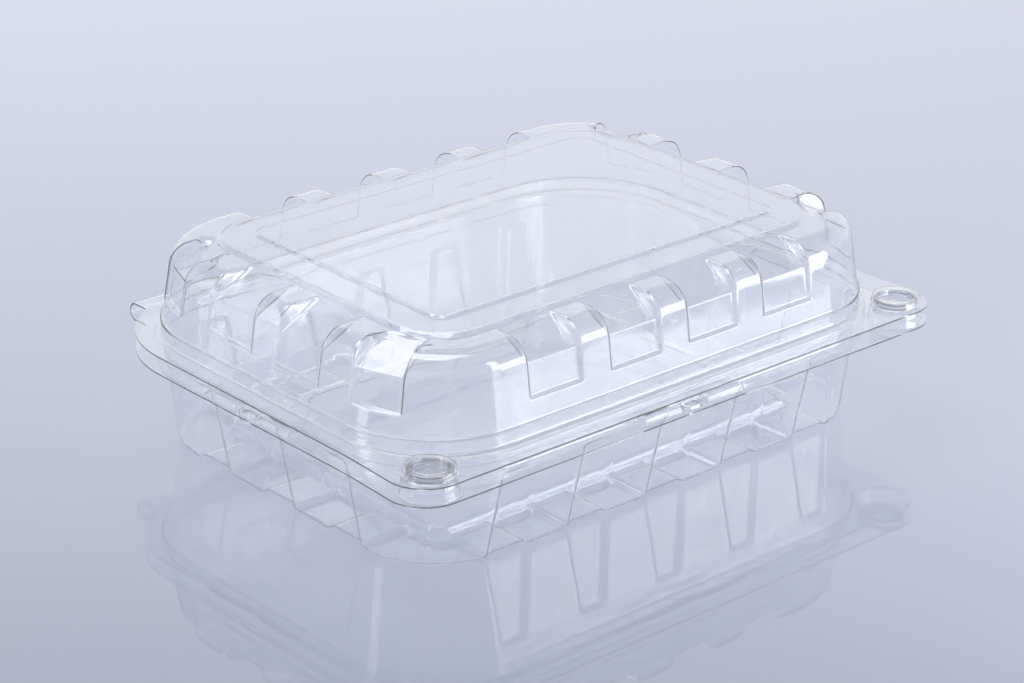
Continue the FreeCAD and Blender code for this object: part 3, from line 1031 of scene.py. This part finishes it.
@dataclass
class Tray(Half):
    """Fluted tray: raised floor, foot ring with channels, wall, bead, flange, studs and pads."""

    name: str = "tray_sheet"
    facing: Facing = Facing.DOWN
    flange_height: float = 27.9
    foot: Triple = (83.6, 61.4, 26.0)
    draft: float = 6.6
    bead_top: float = 32.6
    bead_width: float = 1.8
    foot_radius: float = 3.0
    floor: Triple = (66.5, 45.5, 5.0)
    floor_rise: float = 3.5
    flute_mouth: float = 16.0
    flute_floor: float = 12.0
    flute_depth: float = 1.6
    flute_taper: float = 3.3
    flute_top: float = 25.0
    channel_rise: float = 1.1
    soft: float = 1.0
    front_rows: tuple[float, ...] = (0.0, 28.0, 56.0)
    side_rows: tuple[float, ...] = (0.0, 28.0)
    front_turn: float = 18.0
    side_turn: float = 4.0

    def columns(self) -> Columns:
        """Gathers columns that follow the sloping edges of the flutes.

        Returns:
            The columns.
        """
        steps = (2.5, 4.3, 5.0, 5.5, 6.0, 6.5, 7.0, 7.5, 8.0, 8.5, 9.2, 10.8, 12.4)
        lists = []
        for rows, end in ((self.front_rows, 64.6), (self.side_rows, 36.6)):
            places = {0.0}
            for row in rows:
                places.update(row + sign * step for step in steps for sign in (-1, 1))
                places.update((row, row + 14.0))
            lists.append(tuple(sorted(place for place in places if 0.0 <= place < end)))
        span = 90.0 - self.side_turn - self.front_turn
        corner = tuple(self.front_turn + span * (index + 1) / 19.0 for index in range(18))
        return Columns(front=lists[0], side=lists[1], corner=corner, front_turn=self.front_turn,
                       side_turn=self.side_turn, taper=self.flute_taper, taper_height=self.flute_top,
                       front_rows=self.front_rows, side_rows=self.side_rows)

    def rings(self) -> list[Ring]:
        """Rings from the middle of the floor out to the flange's underside.

        Returns:
            The rings.
        """
        top = self.floor_rise
        rings = middle_rings(self.floor, top, 0.0)
        rings += profile(self.floor, [
            (-1.5, top), (-1.05, top - 0.04), (-0.85, top - 0.2), (-0.6, 2.2), (-0.45, 1.6), (-0.35, 1.15),
            (-0.25, 0.7), (-0.1, 0.25), (0.15, 0.06), (0.6, 0.0)], 0.0)
        start = [size + 1.4 for size in self.floor]
        end = [size - self.foot_radius - 0.2 for size in self.foot]
        rings += [blend(start, end, index / 5.0, 0.0, (index / 5.0) ** 2) for index in range(6)]
        draft, radius = math.radians(self.draft), self.foot_radius
        lean = math.tan(draft)
        centre = lean * radius * (1.0 + math.sin(draft)) - radius * math.cos(draft)
        rings += profile(self.foot, arc((centre, radius), radius, -90.0, -self.draft, 8)[1:])
        rings += profile(self.foot, [(lean * height, height) for height in (
            4.0, 6.0, 8.5, 11.0, 13.5, 16.0, 18.5, 20.8, 22.6, 23.6, 24.0, 24.3, 24.6, 24.9, 25.2, 25.6, 26.4,
            28.0, 29.8, 31.2)])
        under, low = self.bead_top - SHEET, self.flange_height
        inner = lean * under
        outer = lean * self.bead_top + self.bead_width - SHEET
        return rings + profile(self.foot, [
            (inner, under - 0.35), (inner + 0.1, under - 0.1), (inner + 0.3, under),
            ((inner + outer) / 2.0, under), (outer - 0.3, under), (outer - 0.1, under - 0.1),
            (outer, under - 0.35), (outer + 0.03, 30.5), (outer + 0.06, low + 1.0),
            (outer + 0.12, low + 0.45), (outer + 0.28, low + 0.12), (outer + 0.48, low), (outer + 0.62, low)])

    def cells(self, columns: Columns, rings: list[Ring]) -> list[dict[str, np.ndarray]]:
        """What each column of each ring knows about its flute.

        Args:
            columns: The columns.
            rings: The rings.

        Returns:
            For each ring, values by attribute name.
        """
        found = []
        front, corner = columns.split()
        front += corner // 2
        for ring in rings:
            points = columns.quarter(ring)
            count = len(points)
            out = np.tile(np.array([1.0, 0.0]), (count, 1))
            out[:front] = (0.0, -1.0)
            across = np.abs(-points[:, 1][:, None] - np.array(self.side_rows)).min(1)
            across[:front] = np.abs(points[:front, :1] - np.array(self.front_rows)).min(1)
            proud = points[:, 0] - ring.half_x
            proud[:front] = -points[:front, 1] - ring.half_y
            found.append({"out": out, "across": across, "proud": proud, "share": np.full(count, ring.press)})
        return found

    def pads(self) -> tuple[RaisedPad, RaisedPad, RaisedPad]:
        """Pads for the middle of a side.

        Returns:
            The two pads and the tongue between them.
        """
        corners = ((3.7, -71.4), (18.7, -71.4), (18.7, -67.5), (3.7, -67.5))
        right = RaisedPad(corners, 1.0, 2.1, 1.0)
        left = RaisedPad(tuple((-x, y) for x, y in reversed(corners)), 1.0, 2.1, 1.0)
        tongue = RaisedPad(((-3.3, -71.6), (3.3, -71.6), (3.3, -67.6), (-3.3, -67.6)), 1.9, 1.2, 0.6)
        return right, left, tongue

    def build(self, material: Material) -> Object:
        """Makes the tray.

        Args:
            material: Its finish.

        Returns:
            The finished piece, riding on the tray.
        """
        columns = self.columns()
        rings = self.rings()
        skin = Skin(columns, rings).mesh("tray_skin", self.cells(columns, rings))
        tree = tray_press_tree({
            "Depth": self.flute_depth, "Floor width": self.flute_floor,
            "Side slope": (self.flute_mouth - self.flute_floor) / 2.0, "Taper": self.flute_taper,
            "Flute top": self.flute_top, "Channel rise": self.channel_rise, "Soft edge": self.soft})
        tree.apply(skin, material)
        stud = SnapButton((
            (7.95, 27.9), (7.75, 27.92), (7.5, 28.08), (7.38, 28.4), (7.0, 30.5), (6.8, 31.9), (6.65, 32.12),
            (6.45, 32.2), (5.95, 32.2), (5.78, 32.27), (5.7, 32.45), (5.66, 33.4), (5.64, 34.1), (5.6, 34.2),
            (5.56, 34.1), (5.55, 33.4), (5.53, 32.9), (5.45, 32.6), (5.2, 32.5), (3.0, 32.5)))
        middles = [Matrix.Rotation(math.radians(angle), 4, "Z") @ Matrix.Translation((0.0, shift, 0.0))
                   for angle, shift in ((0.0, 0.0), (90.0, -22.1), (-90.0, -22.1))]
        pads = [(place, pad) for place in middles for pad in self.pads()]
        piece = self.assemble(skin, stud, pads, material)
        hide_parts("tray")
        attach(piece, "tray")
        return piece


# Studio


@dataclass(frozen=True)
class Softbox:
    """A soft lamp: where it hangs, what it looks at, its size in metres and its power in watts."""

    name: str
    at: Triple
    look: Triple
    size: Pair
    power: float

    def hang(self) -> None:
        """Adds the lamp to the scene."""
        light = bpy.data.lights.new(self.name, "AREA")
        light.shape = "RECTANGLE"
        light.size, light.size_y = self.size
        light.energy = self.power
        lamp = add_object(self.name, light)
        lamp.location = self.at
        aim = Vector(self.look) - Vector(self.at)
        lamp.rotation_euler = aim.to_track_quat("-Z", "Y").to_euler()


@dataclass
class Studio:
    """Pale floor with a painted shade gradient, soft lamps, pale surroundings and the camera at the
    photograph's angle.
    """

    lens: float = 107.4
    # Painted shade: the floor's colour runs from the darker near colour to the lighter far one along the view
    near_shade_colour: Triple = (0.33, 0.36, 0.48)
    far_light_colour: Triple = (0.64, 0.66, 0.82)
    view_along: Triple = (0.667, 0.745, 0.0)
    floor_reach: float = 6.0
    floor_drop: float = 3e-5
    floor_haze: float = 0.03
    floor_refraction: float = 2.0
    near_at: float = -0.2
    far_at: float = 0.45
    sky: tuple[Pair, ...] = ((0.0, 1.0), (0.42, 1.0), (0.62, 0.36), (1.0, 0.28))
    lamps: tuple[Softbox, ...] = (
        Softbox("overhead", (-0.08, 0.26, 1.25), (0.0, 0.0, 0.03), (0.62, 1.25), 9.0),
        Softbox("front strip", (0.3, -0.95, 0.36), (0.0, 0.0, 0.04), (0.16, 0.7), 1.6),
        Softbox("low card", (0.18, -0.3, 0.075), (0.0, -0.06, 0.045), (0.22, 0.14), 0.4),
        Softbox("left strip", (-1.05, 0.3, 0.4), (0.0, 0.0, 0.04), (0.2, 0.6), 1.6),
    )

    def camera(self) -> None:
        """Adds the camera."""
        data = bpy.data.cameras.new("camera")
        data.lens = self.lens
        data.sensor_width = 36.0
        eye = add_object("camera", data)
        right = Vector((0.74833581, -0.66320293, 0.01246563))
        up = Vector((0.25439837, 0.30430889, 0.91797471))
        forward = Vector((0.61259692, 0.68378211, -0.39644299))
        turn = Matrix((right, up, -forward)).transposed()
        eye.matrix_world = Matrix.Translation((-0.5205191, -0.5800126, 0.3600289)) @ turn.to_4x4()
        bpy.context.scene.camera = eye

    def floor(self) -> None:
        """Adds the glossy pale surface that the pack stands on, with painted shade: darker near the camera,
        lighter far away.
        """
        mesh = bpy.data.meshes.new("floor")
        reach = self.floor_reach
        corners = [(x, y, -self.floor_drop) for x, y in ((-reach, -reach), (reach, -reach), (reach, reach),
                                                         (-reach, reach))]
        mesh.from_pydata(corners, [], [(0, 1, 2, 3)])
        slab = add_object("floor", mesh)
        material, tree = new_material("pale surface")
        place = tree.node("ShaderNodeTexCoord").outputs["Object"]
        # Painted shade: the colour darkens towards the camera and lightens away from it, standing in for the
        # light's falloff
        along = tree.node("ShaderNodeVectorMath", {0: place, 1: self.view_along}, operation="DOT_PRODUCT")
        depth = tree.node("ShaderNodeMapRange", {"Value": along.outputs["Value"], "From Min": self.near_at,
                                                 "From Max": self.far_at})
        shader = tree.node("ShaderNodeBsdfPrincipled", {
            "Roughness": self.floor_haze, "IOR": self.floor_refraction,
            "Base Color": tree.mix(depth.outputs[0], (*self.near_shade_colour, 1.0), (*self.far_light_colour, 1.0))})
        tree.node("ShaderNodeOutputMaterial", {"Surface": shader.outputs[0]})
        mesh.materials.append(material)

    def surroundings(self) -> None:
        """Sets the world: pale light all round, darker overhead."""
        world = bpy.data.worlds.new("surroundings")
        bpy.context.scene.world = world
        world.use_nodes = True
        tree = NodeTree(world.node_tree)
        place = tree.node("ShaderNodeTexCoord").outputs["Generated"]
        height = tree.node("ShaderNodeSeparateXYZ", {0: place}).outputs[2]
        ramp = tree.node("ShaderNodeValToRGB", {0: height})
        for index, (at, level) in enumerate(self.sky):
            stops = ramp.color_ramp.elements
            stop = stops[index] if index < 2 else stops.new(at)
            stop.position = at
            stop.color = (level * 0.95, level * 0.965, level, 1.0)
        back = tree.node("ShaderNodeBackground", {"Color": ramp.outputs[0], "Strength": 1.0})
        tree.node("ShaderNodeOutputWorld", {"Surface": back.outputs[0]})

    def build(self) -> None:
        """Sets up the whole studio."""
        self.camera()
        self.floor()
        self.surroundings()
        for lamp in self.lamps:
            lamp.hang()
        bpy.context.scene.view_settings.view_transform = "Standard"


def main() -> None:
    """Builds the studio and the pack."""
    logging.basicConfig(level=logging.INFO, format="%(name)s %(message)s")
    Studio().build()
    marks = SheetMarks()
    tray = Tray().build(ClearPlastic("clear tray sheet").build(marks))
    lid = Lid().build(ClearPlastic("clear lid sheet", wave=52.0).build(marks))
    for piece in (tray, lid):
        LOG.info("%s: %d faces", piece.name, len(piece.data.polygons))


if __name__ == "__main__":
    main()
